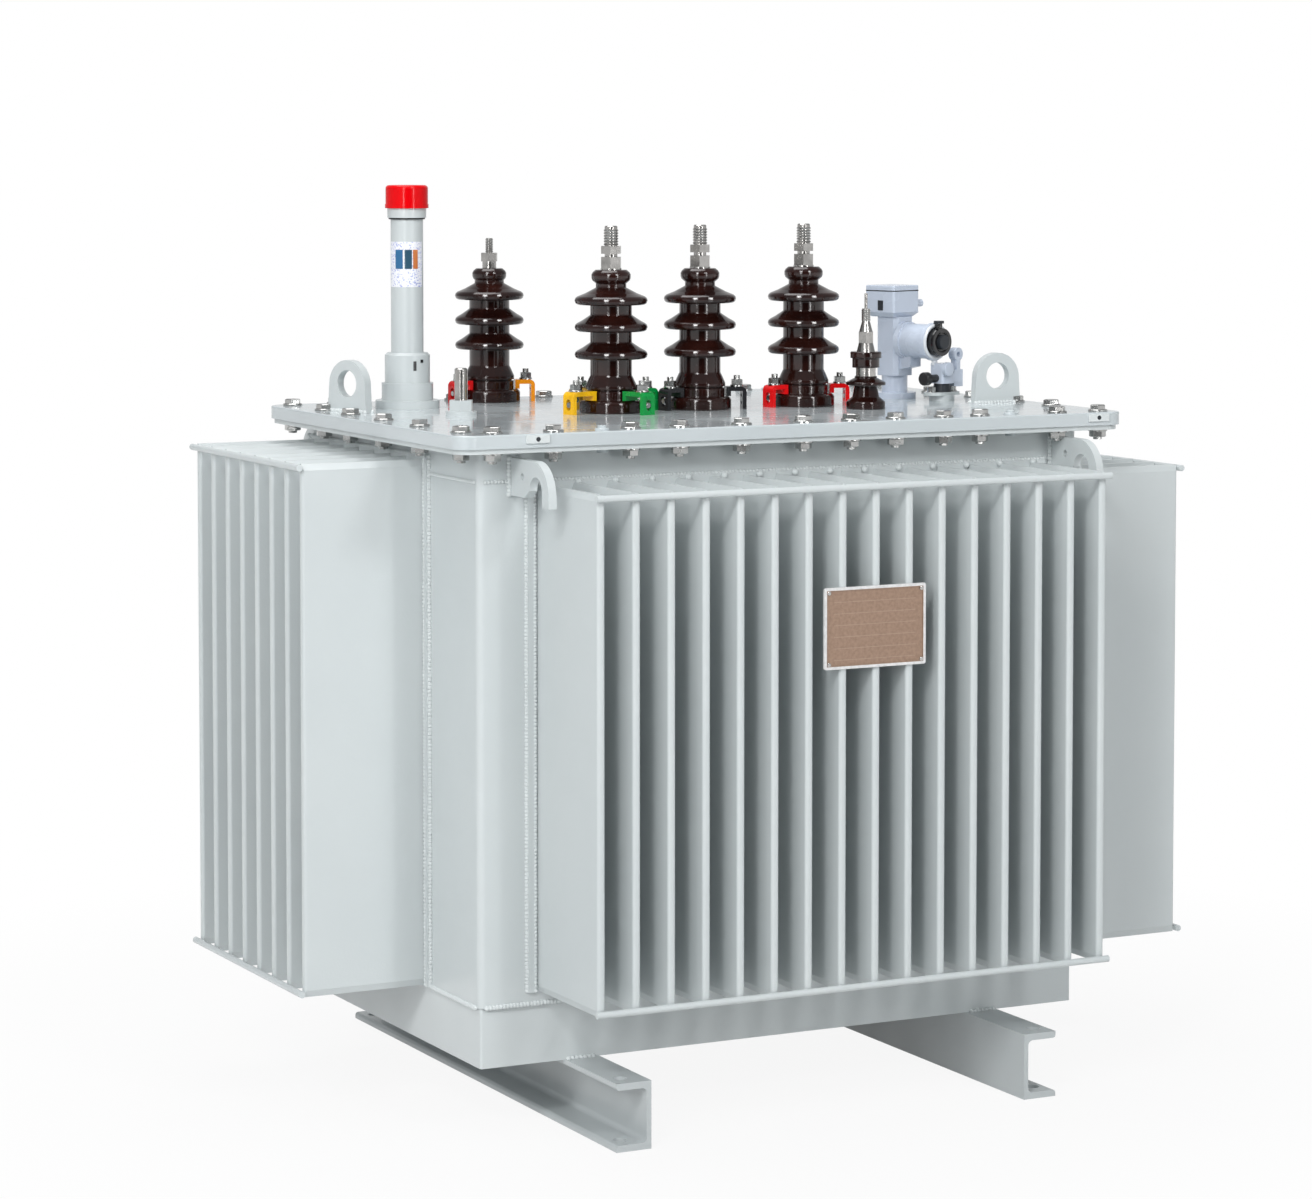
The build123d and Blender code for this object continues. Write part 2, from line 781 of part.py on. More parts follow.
with BuildPart() as small_terminal:
    ring_foot = lid_top + small_body_top
    top_foot = ring_foot + small_ring_height + small_cap_height
    with BuildSketch(Plane.XY.offset(ring_foot)):
        with Locations(small_place):
            Circle(small_ring_r)
    extrude(amount=small_ring_height)
    with BuildSketch(Plane.XY.offset(top_foot)):
        with Locations(small_place):
            Circle(small_washer_r)
    with BuildSketch(Plane.XY.offset(top_foot + small_washer_height)):
        with Locations(small_place):
            Circle(small_washer_top_r)
    loft()
    with BuildSketch(Plane.XY.offset(top_foot + small_washer_height)):
        with Locations(small_place):
            RegularPolygon(small_nut / 2, 6, major_radius=False)
    extrude(amount=small_nut_height)
    cone_foot = top_foot + small_washer_height + small_nut_height
    post_foot = cone_foot + small_cone_height
    with BuildSketch(Plane.XY.offset(cone_foot)):
        with Locations(small_place):
            Circle(small_cone_r)
    with BuildSketch(Plane.XY.offset(post_foot)):
        with Locations(small_place):
            Circle(small_post_r)
    loft()
    with BuildSketch(Plane.XY.offset(post_foot)):
        with Locations(small_place):
            Circle(small_post_r)
    extrude(amount=small_post_height)
    with BuildSketch(Plane.XY.offset(post_foot + small_post_height)):
        with Locations(small_place):
            Circle(small_stud_r)
    extrude(amount=small_stud_height)
small_terminal.part.label = "small_terminal"

# Protection relay
relay_x_dir = (cos(radians(relay_turn)), sin(radians(relay_turn)), 0)
relay_front = (sin(radians(relay_turn)), -cos(radians(relay_turn)), 0)
relay_axis = Plane((relay_place[0], relay_place[1], lid_top), x_dir=relay_x_dir, z_dir=(0, 0, 1))
column_foot = relay_flange_thick + relay_stem_height
column_top = column_foot + relay_column_height
with BuildPart() as relay_column:
    with BuildSketch(relay_axis):
        Circle(relay_flange_r)
    extrude(amount=relay_flange_thick)
    with BuildSketch(relay_axis.offset(relay_flange_thick)):
        Circle(relay_stem_r)
    extrude(amount=relay_stem_height)
    with BuildSketch(relay_axis.offset(column_foot)) as column_outline:
        Rectangle(relay_column_width, relay_column_width)
        chamfer(column_outline.vertices(), length=relay_column_chamfer)
    extrude(amount=relay_column_height)
relay_column.part.label = "relay_column"

box_place = relay_axis.origin + (relay_axis.y_dir - relay_axis.x_dir) * relay_box_shift
box_axis = Plane(box_place, x_dir=relay_x_dir, z_dir=(0, 0, 1))
with BuildPart() as relay_box:
    with BuildSketch(box_axis.offset(column_top)):
        Rectangle(relay_box_width - 2 * relay_box_chamfer, relay_box_width - 2 * relay_box_chamfer)
    with BuildSketch(box_axis.offset(column_top + relay_box_chamfer)):
        Rectangle(relay_box_width, relay_box_width)
    loft()
    with BuildSketch(box_axis.offset(column_top + relay_box_chamfer)):
        RectangleRounded(relay_box_width, relay_box_width, relay_box_edge_r)
    extrude(amount=relay_box_height - relay_box_chamfer)
    with BuildSketch(box_axis.offset(column_top + relay_box_height)):
        RectangleRounded(relay_lid_width, relay_lid_width, relay_box_edge_r)
    extrude(amount=relay_lid_height)
    fillet(relay_box.faces().sort_by(Axis.Z)[-1].edges(), radius=1.5)
    box_side = Plane(
        box_place + box_axis.z_dir * (column_top + relay_box_height / 2),
        x_dir=(0, 0, 1),
        z_dir=relay_x_dir,
    )
    with BuildSketch(box_side.offset(relay_box_width / 2)):
        with Locations((0, relay_knob_forward)):
            Circle(relay_knob_r)
    extrude(amount=relay_knob_length)
relay_box.part.label = "relay_box"

barrel_plane = Plane(
    relay_axis.origin + relay_axis.z_dir * relay_barrel_height,
    x_dir=relay_x_dir,
    z_dir=relay_front,
)
barrel_from = relay_column_width / 2
with BuildPart() as relay_gauge:
    with BuildSketch(barrel_plane.offset(barrel_from)):
        Circle(relay_barrel_r)
    extrude(amount=relay_barrel_reach - barrel_from)
    with BuildSketch(barrel_plane.offset(barrel_from)):
        Circle(relay_collar_r)
    extrude(amount=relay_collar_thick)
    with BuildSketch(barrel_plane.offset(relay_barrel_reach - relay_ring_thick)):
        Circle(relay_ring_r)
    extrude(amount=relay_ring_thick)
    lug_side = Plane(barrel_plane.origin, x_dir=relay_front, z_dir=relay_x_dir)
    with BuildSketch(lug_side.offset(-relay_lug_width / 2)):
        with BuildLine():
            Polyline(
                (barrel_from, 0),
                (relay_lug_reach, 0),
                (relay_lug_reach, relay_lug_side),
                (barrel_from, relay_lug_drop),
                close=True,
            )
        make_face()
    extrude(amount=relay_lug_width)
relay_gauge.part.label = "relay_gauge"

with BuildPart() as relay_dial:
    with BuildSketch(barrel_plane.offset(relay_barrel_reach)):
        Circle(relay_dial_r)
    extrude(amount=relay_dial_thick)
    with BuildSketch(barrel_plane.offset(relay_barrel_reach + relay_dial_thick - relay_dial_recess)):
        Circle(relay_dial_r - relay_dial_rim)
    extrude(amount=relay_dial_recess, mode=Mode.SUBTRACT)
    with BuildSketch(
        Plane(
            barrel_plane.origin
            + barrel_plane.z_dir * (relay_barrel_reach + relay_dial_thick / 2)
            + Vector(0, 0, relay_dial_r - relay_dial_rim),
            x_dir=relay_x_dir,
            z_dir=(0, 0, 1),
        )
    ):
        Circle(relay_knob_stem_r)
    extrude(amount=relay_dial_rim + relay_knob_stem_height)
relay_dial.part.label = "relay_dial"

# Tap changer drive, turned the same way as the relay and partly under its barrel
tap_axis = Plane((tap_place[0], tap_place[1], lid_top), x_dir=relay_x_dir, z_dir=(0, 0, 1))
tap_hub_foot = tap_boss_height + tap_plate_thick
tap_block_foot = tap_hub_foot + tap_hub_height
with BuildPart() as tap_changer_base:
    with BuildSketch(tap_axis):
        Circle(tap_boss_r)
    extrude(amount=tap_boss_height)
    with BuildSketch(tap_axis.offset(tap_boss_height)):
        SlotOverall(tap_plate_length, tap_plate_width)
    extrude(amount=tap_plate_thick)
    with BuildSketch(tap_axis.offset(tap_hub_foot)):
        Circle(tap_hub_r)
    with BuildSketch(tap_axis.offset(tap_block_foot)):
        Circle(tap_hub_top_r)
    loft()
tap_changer_base.part.label = "tap_changer_base"

tap_side = Plane(tap_axis.origin, x_dir=relay_x_dir, z_dir=relay_front)
with BuildPart() as tap_changer_body:
    with BuildSketch(tap_axis.offset(tap_block_foot)):
        RectangleRounded(tap_block_width, tap_block_width, tap_block_r)
    extrude(amount=tap_block_height)
    with BuildSketch(tap_side.offset(-tap_wing_thick / 2)):
        with Locations((0, tap_block_foot)):
            Rectangle(tap_wing_start, tap_block_height / 2, align=(Align.MIN, Align.MIN))
        with Locations((tap_wing_start + tap_wing_width / 2, tap_block_foot - tap_wing_rise)):
            Rectangle(tap_wing_width, tap_wing_height, align=(Align.CENTER, Align.MIN))
            Rectangle(tap_neck_width, tap_ring_height, align=(Align.CENTER, Align.MIN))
        with Locations((tap_wing_start + tap_wing_width / 2, tap_block_foot + tap_ring_height)):
            Circle(tap_ring_r)
            Circle(tap_ring_hole_r, mode=Mode.SUBTRACT)
    extrude(amount=tap_wing_thick)
tap_changer_body.part.label = "tap_changer_body"

with BuildPart() as tap_changer_knob:
    knob_plane = Plane(
        tap_axis.origin + tap_axis.z_dir * tap_knob_height,
        x_dir=(0, 0, 1),
        z_dir=(-cos(radians(relay_turn)), -sin(radians(relay_turn)), 0),
    )
    with BuildSketch(knob_plane.offset(tap_block_width / 2)):
        Circle(tap_knob_stem_r)
    extrude(amount=tap_knob_start - tap_block_width / 2)
    with BuildSketch(knob_plane.offset(tap_knob_start)):
        Circle(tap_knob_r)
    extrude(amount=tap_knob_length)
    rims = tap_changer_knob.edges().filter_by(GeomType.CIRCLE)
    fillet(rims.sort_by(Axis(tap_axis.origin, knob_plane.z_dir))[-1], radius=tap_knob_edge_r)
tap_changer_knob.part.label = "tap_changer_knob"

# Rating plate
with BuildPart() as nameplate:
    plate_back = tank_width / 2 + long_fin_depth + seat_gap
    with BuildSketch(Plane((plate_x, -plate_back, plate_z), x_dir=(1, 0, 0), z_dir=(0, -1, 0))):
        RectangleRounded(plate_width, plate_height, plate_corner_r)
    extrude(amount=plate_thick)
    with BuildSketch(
        Plane((plate_x, -plate_back - plate_thick, plate_z), x_dir=(1, 0, 0), z_dir=(0, -1, 0))
    ):
        Rectangle(plate_width - 2 * plate_frame, plate_height - 2 * plate_frame)
    extrude(amount=-plate_recess, mode=Mode.SUBTRACT)
nameplate.part.label = "nameplate"

pieces = [
    channel("skid_left", -1),
    channel("skid_right", 1),
    base_box.part,
    tank_wall.part,
    rim_flange.part,
    lid.part,
    *walls,
    hook_pair("tank_hooks_front", -1),
    hook_pair("tank_hooks_back", 1),
    lifting_eye("lifting_eye_left", eye_left_place, eye_left_turn),
    lifting_eye("lifting_eye_right", eye_right_place, eye_right_turn),
    gauge_base.part,
    gauge_tube.part,
    gauge_cap.part,
    thermometer_boss.part,
    thermometer_pocket.part,
    porcelain("neutral_bushing", neutral_place, *neutral_form),
    clamp_ring("neutral_clamps", neutral_place, *close_clamps),
    neutral_terminal.part,
    small_bushing.part,
    small_terminal.part,
    relay_column.part,
    relay_box.part,
    relay_gauge.part,
    relay_dial.part,
    tap_changer_base.part,
    tap_changer_body.part,
    tap_changer_knob.part,
    nameplate.part,
]
for index, place in enumerate(phase_places):
    number = str(index + 1)
    clamps_here = wide_clamps if index == 0 else close_clamps
    pieces.append(porcelain("phase_bushing_" + number, place, *phase_form))
    pieces.append(phase_terminal("phase_terminal_" + number, place))
    pieces.append(clamp_ring("phase_clamps_" + number, place, *clamps_here))

for piece in pieces:
    export_step(piece, "parts/" + piece.label + ".step")
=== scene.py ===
import bpy
from math import atan2, cos, degrees, radians, sin, sqrt
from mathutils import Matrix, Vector


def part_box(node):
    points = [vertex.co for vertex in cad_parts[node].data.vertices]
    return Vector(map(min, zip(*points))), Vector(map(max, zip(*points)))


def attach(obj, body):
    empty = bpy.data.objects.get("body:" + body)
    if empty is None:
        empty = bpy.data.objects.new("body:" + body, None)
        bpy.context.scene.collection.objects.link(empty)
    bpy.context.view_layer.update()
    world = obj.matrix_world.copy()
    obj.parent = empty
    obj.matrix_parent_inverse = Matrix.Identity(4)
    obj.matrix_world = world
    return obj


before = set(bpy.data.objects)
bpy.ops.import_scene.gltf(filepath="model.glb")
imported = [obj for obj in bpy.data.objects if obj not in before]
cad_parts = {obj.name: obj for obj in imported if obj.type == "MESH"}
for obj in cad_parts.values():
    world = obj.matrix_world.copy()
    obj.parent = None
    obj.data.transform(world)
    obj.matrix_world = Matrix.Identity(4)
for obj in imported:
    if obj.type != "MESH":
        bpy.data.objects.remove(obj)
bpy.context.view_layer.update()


# View and light. The camera stands at the photograph's height and angle with a long lens. Wide
# lamps over a pale floor make a plain studio, small soft boxes and strips give the glaze and the
# metal their highlights, and a dark felt card behind the camera is mirrored between them.
scene = bpy.context.scene
camera_data = bpy.data.cameras.new("camera")
camera_data.sensor_width = 36.0
camera_data.lens = 107.8947
camera_data.shift_y = -0.1750
camera_data.clip_end = 100.0
camera = bpy.data.objects.new("camera", camera_data)
camera.location = (-2.2824, -4.3894, 1.1682)
camera.rotation_euler = (radians(86.6), 0, radians(-26.9644))
scene.collection.objects.link(camera)
scene.camera = camera
scene.view_settings.view_transform = "Standard"

world = bpy.data.worlds.new("studio")
world.use_nodes = True
scene.world = world
world_tree = world.node_tree
sky = world_tree.nodes["Background"]
sky.inputs["Color"].default_value = (0.95, 0.975, 1.0, 1.0)
sky.inputs["Strength"].default_value = 0.33
backdrop_white = world_tree.nodes.new("ShaderNodeBackground")
backdrop_white.inputs["Color"].default_value = (1.0, 1.0, 1.0, 1.0)
backdrop_white.inputs["Strength"].default_value = 1.0


def reckoned(tree, operation, first, second):
    sums = tree.nodes.new("ShaderNodeMath")
    sums.operation = operation
    for number, value in enumerate((first, second)):
        if isinstance(value, float):
            sums.inputs[number].default_value = value
        else:
            tree.links.new(value, sums.inputs[number])
    return sums.outputs["Value"]


def ranged(tree, value, low, high, out_low, out_high):
    span = tree.nodes.new("ShaderNodeMapRange")
    span.inputs["From Min"].default_value = low
    span.inputs["From Max"].default_value = high
    span.inputs["To Min"].default_value = out_low
    span.inputs["To Max"].default_value = out_high
    tree.links.new(value, span.inputs["Value"])
    return span.outputs["Result"]


def looked_at(tree):
    rays = tree.nodes.new("ShaderNodeLightPath").outputs
    straight = reckoned(tree, "MAXIMUM", rays["Is Camera Ray"], rays["Is Transmission Ray"])
    return straight, rays["Is Glossy Ray"]


towards = world_tree.nodes.new("ShaderNodeTexCoord")
backdrop_side = world_tree.nodes.new("ShaderNodeVectorMath")
backdrop_side.operation = "DOT_PRODUCT"
backdrop_side.inputs[1].default_value = (0.4529, 0.8916, 0.0)
world_tree.links.new(towards.outputs["Object"], backdrop_side.inputs[0])
backdrop_reach = ranged(world_tree, backdrop_side.outputs["Value"], 0.65, 1.0, 0.0, 0.6)
sky_seen, sky_mirrored = looked_at(world_tree)
sky_mirrored = reckoned(world_tree, "MULTIPLY", sky_mirrored, backdrop_reach)
sky_mix = world_tree.nodes.new("ShaderNodeMixShader")
world_tree.links.new(reckoned(world_tree, "MAXIMUM", sky_seen, sky_mirrored), sky_mix.inputs["Fac"])
world_tree.links.new(sky.outputs["Background"], sky_mix.inputs[1])
world_tree.links.new(backdrop_white.outputs["Background"], sky_mix.inputs[2])
world_tree.links.new(sky_mix.outputs["Shader"], world_tree.nodes["World Output"].inputs["Surface"])

for lamp_name, place, aim, width, height, power in (
    ("left_lamp", (-5.2, -3.0, 2.9), 0.8, 3.0, 2.0, 110.0),
    ("key_box", (-3.3, -3.5, 4.1), 0.9, 1.15, 1.0, 102.0),
    ("front_box", (0.9, -4.7, 3.9), 0.9, 1.15, 0.9, 78.0),
    ("key_strip", (-3.5, -3.6, 1.75), 1.0, 0.26, 2.0, 30.0),
    ("front_strip", (1.0, -5.0, 1.3), 0.9, 0.26, 1.7, 22.0),
    ("top_lamp", (-0.4, 0.6, 4.2), 0.5, 2.4, 2.4, 72.0),
    ("back_lamp", (3.6, 4.2, 2.6), 0.6, 2.6, 2.0, 74.0),
):
    lamp_data = bpy.data.lights.new(lamp_name, "AREA")
    lamp_data.shape = "RECTANGLE"
    lamp_data.size = width
    lamp_data.size_y = height
    lamp_data.energy = power
    lamp = bpy.data.objects.new(lamp_name, lamp_data)
    lamp.location = place
    lamp.rotation_euler = (Vector((0, 0, aim)) - Vector(place)).to_track_quat("-Z", "Y").to_euler()
    lamp.visible_camera = False
    lamp.visible_glossy = lamp_name not in ("left_lamp", "back_lamp")
    scene.collection.objects.link(lamp)

bpy.ops.object.select_all(action="DESELECT")
bpy.ops.mesh.primitive_plane_add(
    size=1.0,
    location=(-1.9, -6.4, 1.6),
    rotation=(radians(90), 0, radians(-16.5)),
)
dark_card = bpy.context.object
dark_card.name = "dark_card"
dark_card.scale = (4.2, 3.6, 1)
bpy.ops.object.transform_apply(location=False, rotation=False, scale=True)
dark_card.visible_camera = False
card_felt = bpy.data.materials.new("card_felt")
card_felt.use_nodes = True
card_shader = card_felt.node_tree.nodes["Principled BSDF"]
card_shader.inputs["Base Color"].default_value = (0.015, 0.015, 0.016, 1)
card_shader.inputs["Roughness"].default_value = 0.95
dark_card.data.materials.append(card_felt)

bpy.ops.object.select_all(action="DESELECT")
bpy.ops.mesh.primitive_plane_add(size=60.0, location=(0, 0, -0.0005))
floor = bpy.context.object
floor.name = "studio_floor"
floor_paint = bpy.data.materials.new("studio_floor")
floor_paint.use_nodes = True
floor_tree = floor_paint.node_tree
floor_shader = floor_tree.nodes["Principled BSDF"]
floor_shader.inputs["Base Color"].default_value = (0.66, 0.66, 0.66, 1.0)
floor_shader.inputs["Roughness"].default_value = 0.9
floor_shader.inputs["Specular IOR Level"].default_value = 0.1
floor_place = floor_tree.nodes.new("ShaderNodeTexCoord")
floor_reach = floor_tree.nodes.new("ShaderNodeVectorMath")
floor_reach.operation = "LENGTH"
floor_tree.links.new(floor_place.outputs["Object"], floor_reach.inputs[0])
floor_fade = ranged(floor_tree, floor_reach.outputs["Value"], 0.68, 1.4, 0.91, 1.0)
floor_seen = reckoned(floor_tree, "MAXIMUM", *looked_at(floor_tree))
floor_white = floor_tree.nodes.new("ShaderNodeEmission")
floor_white.inputs["Color"].default_value = (1.0, 1.0, 1.0, 1.0)
floor_white.inputs["Strength"].default_value = 1.0
floor_mix = floor_tree.nodes.new("ShaderNodeMixShader")
floor_tree.links.new(reckoned(floor_tree, "MULTIPLY", floor_fade, floor_seen), floor_mix.inputs["Fac"])
floor_tree.links.new(floor_shader.outputs["BSDF"], floor_mix.inputs[1])
floor_tree.links.new(floor_white.outputs["Emission"], floor_mix.inputs[2])
floor_tree.links.new(floor_mix.outputs["Shader"], floor_tree.nodes["Material Output"].inputs["Surface"])
floor.data.materials.append(floor_paint)


# Tank, lid and cooling walls. Folded and welded steel sheet, sprayed with pale grey enamel
# that has dried with a fine orange peel and a slightly uneven tone, glossier on the lid.
def mixed(tree, first, second, factor, blend="MIX"):
    factor_socket, first_socket, second_socket, result_socket = 0, 6, 7, 2
    mix = tree.nodes.new("ShaderNodeMix")
    mix.data_type = "RGBA"
    mix.blend_type = blend
    for socket, colour in ((first_socket, first), (second_socket, second)):
        if isinstance(colour, tuple):
            mix.inputs[socket].default_value = colour
        else:
            tree.links.new(colour, mix.inputs[socket])
    tree.links.new(factor, mix.inputs[factor_socket])
    return mix.outputs[result_socket]


def cloud(tree, scale, detail=3.0):
    place = tree.nodes.new("ShaderNodeTexCoord")
    noise = tree.nodes.new("ShaderNodeTexNoise")
    noise.inputs["Scale"].default_value = scale
    noise.inputs["Detail"].default_value = detail
    tree.links.new(place.outputs["Object"], noise.inputs["Vector"])
    return noise.outputs["Fac"]


def relief(tree, height, strength, distance):
    bump = tree.nodes.new("ShaderNodeBump")
    bump.inputs["Strength"].default_value = strength
    bump.inputs["Distance"].default_value = distance
    tree.links.new(height, bump.inputs["Height"])
    return bump.outputs["Normal"]


def enamel(name, colour, shade, rough, peel=0.25, shine=0.5, coat=0.25, patch=(3.5, 5.0, 0.35, 0.68, 1.0)):
    paint = bpy.data.materials.new(name)
    paint.use_nodes = True
    tree = paint.node_tree
    shader = tree.nodes["Principled BSDF"]
    patch_scale, patch_detail, patch_low, patch_high, patch_share = patch
    patches = ranged(tree, cloud(tree, patch_scale, patch_detail), patch_low, patch_high, 0.0, patch_share)
    tree.links.new(mixed(tree, colour, shade, patches), shader.inputs["Base Color"])
    smears = ranged(tree, cloud(tree, 14.0, 4.0), 0.3, 0.7, rough - 0.05, rough + 0.08)
    tree.links.new(smears, shader.inputs["Roughness"])
    tree.links.new(relief(tree, cloud(tree, 320.0, 2.0), peel, 0.0004), shader.inputs["Normal"])
    shader.inputs["Specular IOR Level"].default_value = shine
    shader.inputs["Coat Weight"].default_value = coat
    shader.inputs["Coat Roughness"].default_value = 0.12
    return paint


def dress(node, paint):
    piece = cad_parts[node]
    if piece.material_slots:
        piece.material_slots[0].material = paint
    else:
        piece.data.materials.append(paint)


tank_enamel = enamel("tank_enamel", (0.56, 0.60, 0.605, 1), (0.53, 0.572, 0.58, 1), 0.33)
# The skids take a darker copy of the tank enamel, a painted shade low down.
skid_shade_enamel = enamel("skid_shade_enamel", (0.475, 0.51, 0.518, 1), (0.44, 0.475, 0.483, 1), 0.37)
lid_enamel = enamel("lid_enamel", (0.53, 0.578, 0.596, 1), (0.50, 0.551, 0.57, 1), 0.13, 0.08)
for node in (
    "tank_wall",
    "base_box",
    "rim_flange",
    "corrugated_wall_front",
    "corrugated_wall_back",
    "corrugated_wall_left",
    "corrugated_wall_right",
    "fin_rods_front",
    "fin_rods_back",
    "fin_rods_left",
    "fin_rods_right",
    "tank_hooks_front",
    "tank_hooks_back",
    "lifting_eye_left",
    "lifting_eye_right",
    "gauge_base",
    "gauge_tube",
    "thermometer_boss",
):
    dress(node, tank_enamel)
dress("skid_left", skid_shade_enamel)
dress("skid_right", skid_shade_enamel)
dress("lid", lid_enamel)


# Bushings. Turned porcelain with three sheds, dipped in a dark brown glaze that rounds every
# edge and runs a little thicker and thinner, so that its brown is nowhere quite even.
brown_glaze = bpy.data.materials.new("brown_glaze")
brown_glaze.use_nodes = True
glaze_tree = brown_glaze.node_tree
glaze_shader = glaze_tree.nodes["Principled BSDF"]
glaze_runs = ranged(glaze_tree, cloud(glaze_tree, 30.0, 4.0), 0.35, 0.7, 0.0, 1.0)
glaze_brown = mixed(glaze_tree, (0.0115, 0.0036, 0.0029, 1), (0.026, 0.0072, 0.0052, 1), glaze_runs)
glaze_tree.links.new(glaze_brown, glaze_shader.inputs["Base Color"])
glaze_rough = ranged(glaze_tree, cloud(glaze_tree, 60.0), 0.3, 0.7, 0.035, 0.08)
glaze_tree.links.new(glaze_rough, glaze_shader.inputs["Roughness"])
soft_edge = glaze_tree.nodes.new("ShaderNodeBevel")
soft_edge.samples = 6
soft_edge.inputs["Radius"].default_value = 0.0032
glaze_waves = glaze_tree.nodes.new("ShaderNodeBump")
glaze_waves.inputs["Strength"].default_value = 0.06
glaze_waves.inputs["Distance"].default_value = 0.001
glaze_tree.links.new(cloud(glaze_tree, 45.0, 2.0), glaze_waves.inputs["Height"])
glaze_tree.links.new(soft_edge.outputs["Normal"], glaze_waves.inputs["Normal"])
glaze_tree.links.new(glaze_waves.outputs["Normal"], glaze_shader.inputs["Normal"])
glaze_shader.inputs["Specular IOR Level"].default_value = 0.6
for node in ("phase_bushing_1", "phase_bushing_2", "phase_bushing_3", "neutral_bushing", "small_bushing"):
    dress(node, brown_glaze)


# Terminals. Turned and threaded steel with bright nickel plate that is a little duller in
# patches, as is the pocket of the thermometer.
def plated(name, bright=(0.56, 0.545, 0.525, 1), dull=(0.38, 0.37, 0.355, 1)):
    metal = bpy.data.materials.new(name)
    metal.use_nodes = True
    tree = metal.node_tree
    shader = tree.nodes["Principled BSDF"]
    shader.inputs["Metallic"].default_value = 1.0
    worn = ranged(tree, cloud(tree, 60.0, 3.0), 0.4, 0.72, 0.0, 1.0)
    tree.links.new(mixed(tree, bright, dull, worn), shader.inputs["Base Color"])
    tree.links.new(ranged(tree, cloud(tree, 110.0), 0.3, 0.7, 0.2, 0.28), shader.inputs["Roughness"])
    tree.links.new(relief(tree, cloud(tree, 260.0, 1.0), 0.025, 0.0002), shader.inputs["Normal"])
    return metal


nickel = plated("nickel")
for node in (
    "phase_terminal_1",
    "phase_terminal_2",
    "phase_terminal_3",
    "neutral_terminal",
    "small_terminal",
    "thermometer_pocket",
):
    dress(node, nickel)


# Bushing clamps. Strips of bent steel painted in the colour of their phase, three or four
# round each foot, with the paint rubbed darker here and there.
def phase_paint(name, centre, default, patches):
    paint = bpy.data.materials.new(name)
    paint.use_nodes = True
    tree = paint.node_tree
    shader = tree.nodes["Principled BSDF"]
    shown = default
    arm_start = 0.026
    for turn_degrees, colour in patches:
        place = tree.nodes.new("ShaderNodeTexCoord")
        turn = tree.nodes.new("ShaderNodeMapping")
        turn.vector_type = "TEXTURE"
        turn.inputs["Location"].default_value = (centre[0], centre[1], 0)
        turn.inputs["Rotation"].default_value = (0, 0, radians(turn_degrees))
        tree.links.new(place.outputs["Object"], turn.inputs["Vector"])
        split = tree.nodes.new("ShaderNodeSeparateXYZ")
        tree.links.new(turn.outputs["Vector"], split.inputs["Vector"])
        beyond = reckoned(tree, "GREATER_THAN", split.outputs["X"], arm_start)
        shown = mixed(tree, shown, colour, beyond)
    rubbed = ranged(tree, cloud(tree, 55.0, 5.0), 0.5, 0.75, 0.0, 0.8)
    worn = mixed(tree, shown, (0.72, 0.7, 0.66, 1), rubbed, "MULTIPLY")
    tree.links.new(worn, shader.inputs["Base Color"])
    tree.links.new(ranged(tree, cloud(tree, 40.0), 0.3, 0.7, 0.16, 0.3), shader.inputs["Roughness"])
    tree.links.new(relief(tree, cloud(tree, 500.0, 2.0), 0.2, 0.0003), shader.inputs["Normal"])
    return paint


yellow = (0.86, 0.47, 0.004, 1)
mustard = (0.42, 0.25, 0.03, 1)
green = (0.0, 0.30, 0.055, 1)
black = (0.012, 0.012, 0.014, 1)
red = (0.76, 0.006, 0.008, 1)
orange = (0.80, 0.27, 0.004, 1)
phase_places = ((-0.122, -0.020), (0.005, -0.015), (0.151, -0.020))
neutral_place = (-0.171, 0.236)
wide_turns = (15, 105, 195, 285)
close_turns = (80, 190, 342)
first_paint = phase_paint("clamp_paint_1", phase_places[0], green, ((105, mustard), (195, yellow)))
dress("phase_clamps_1", first_paint)
dress("phase_clamps_2", phase_paint("clamp_paint_2", phase_places[1], black, ()))
dress("phase_clamps_3", phase_paint("clamp_paint_3", phase_places[2], red, ()))
dress("neutral_clamps", phase_paint("clamp_paint_neutral", neutral_place, orange, ((190, red),)))


# Small parts on the lid. The gauge's red screw cap, the relay's cast housing in lilac grey, its
# glossy black dial, and the tap changer drive with a black knob.
cap_colours = ((0.72, 0.001, 0.004, 1), (0.60, 0.001, 0.003, 1))
cap_red = enamel("cap_red", *cap_colours, 0.13, 0.05, shine=0.22, coat=0.0)
relay_enamel = enamel("relay_enamel", (0.545, 0.605, 0.705, 1), (0.515, 0.575, 0.675, 1), 0.24, 0.15)
knob_black_and_shade = enamel("knob_black_and_shade", (0.012, 0.012, 0.014, 1), (0.022, 0.022, 0.024, 1), 0.3, shine=0.3)
dial_black = enamel("dial_black", (0.006, 0.006, 0.007, 1), (0.011, 0.011, 0.012, 1), 0.05, 0.03)
dress("gauge_cap", cap_red)
for node in ("relay_column", "relay_box", "relay_gauge", "tap_changer_body"):
    dress(node, relay_enamel)
dress("tap_changer_base", tank_enamel)
dress("tap_changer_knob", knob_black_and_shade)
dress("relay_dial", dial_black)


# Lid bolts. Zinc plated M12 hexagon bolts with washers clamp the lid to the rim flange, each
# with a nut and a short end of thread below. The front and back rows are spaced round what is
# welded under them, and each has two small screws that are painted over with the lid.
def start_piece():
    if bpy.context.object and bpy.context.object.mode != "OBJECT":
        bpy.ops.object.mode_set(mode="OBJECT")
    bpy.ops.object.select_all(action="DESELECT")


def pick_faces(test):
    piece = bpy.context.object
    bpy.ops.object.mode_set(mode="EDIT")
    bpy.ops.mesh.select_mode(type="FACE")
    bpy.ops.mesh.select_all(action="DESELECT")
    bpy.ops.object.mode_set(mode="OBJECT")
    for face in piece.data.polygons:
        face.select = test(face)
    bpy.ops.object.mode_set(mode="EDIT")


